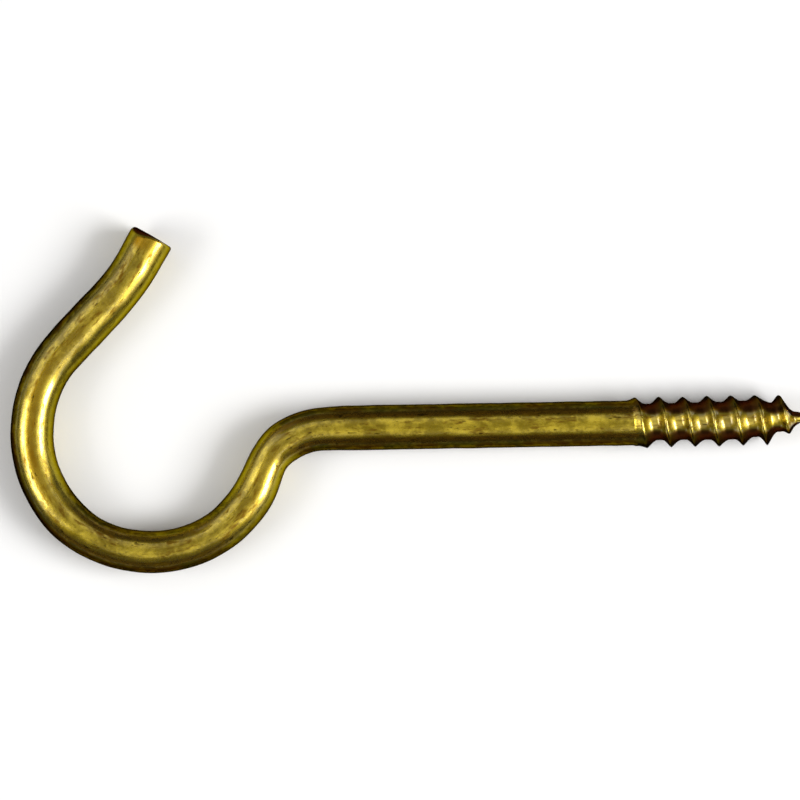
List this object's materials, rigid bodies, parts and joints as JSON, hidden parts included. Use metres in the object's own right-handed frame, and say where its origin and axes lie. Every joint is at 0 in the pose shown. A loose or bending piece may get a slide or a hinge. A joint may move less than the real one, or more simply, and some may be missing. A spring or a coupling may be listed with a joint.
{
  "type": "ceiling hook",
  "caption": "Screw hook bent from round brass-plated wire: wood thread, straight shank and an open round bowl, for hanging things from a ceiling or beam.",
  "frame": {"origin": "on the shank's axis, where the wood thread begins", "axes": "+X along the shank towards the thread's point, +Y towards the side of the hook's open end, +Z out of the hook's plane, up as it lies on its side"},
  "size_m": [0.0803, 0.0347, 0.0052],
  "materials": {
    "plated_wire": "aged olive-gold brass plating on drawn wire, satin, with darker patina"
  },
  "bodies": {
    "root": {"hook": "plated_wire"}
  },
  "joints": []
}
